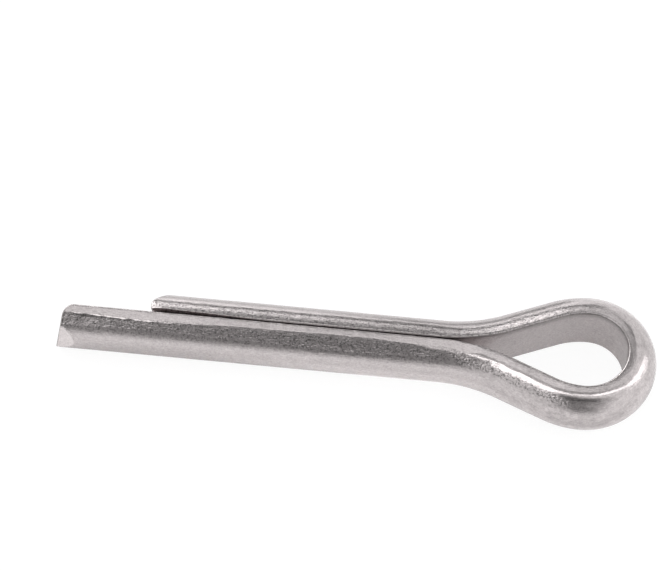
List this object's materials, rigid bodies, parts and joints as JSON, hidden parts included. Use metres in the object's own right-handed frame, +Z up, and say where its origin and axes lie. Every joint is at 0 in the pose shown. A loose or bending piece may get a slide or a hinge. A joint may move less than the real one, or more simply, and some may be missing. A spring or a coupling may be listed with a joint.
{
  "type": "cotter pin",
  "caption": "Cotter pin bent from half-round wire: a teardrop eye with sloping shoulders, and flat-to-flat prongs that form a round shank and spread to lock it in a cross hole.",
  "frame": {"origin": "on the shank's axis, where the eye's shoulders begin to leave it", "axes": "-X along the shank towards the prong tips, +X towards the eye, +Z up through the eye's hole as the pin lies on its side, long prong on the -Y side"},
  "size_m": [0.0686, 0.0159, 0.007],
  "materials": {
    "steel_wire": "satin, as drawn and plated, with fine pitting"
  },
  "bodies": {
    "root": {"cotter_pin": "steel_wire"}
  },
  "joints": []
}
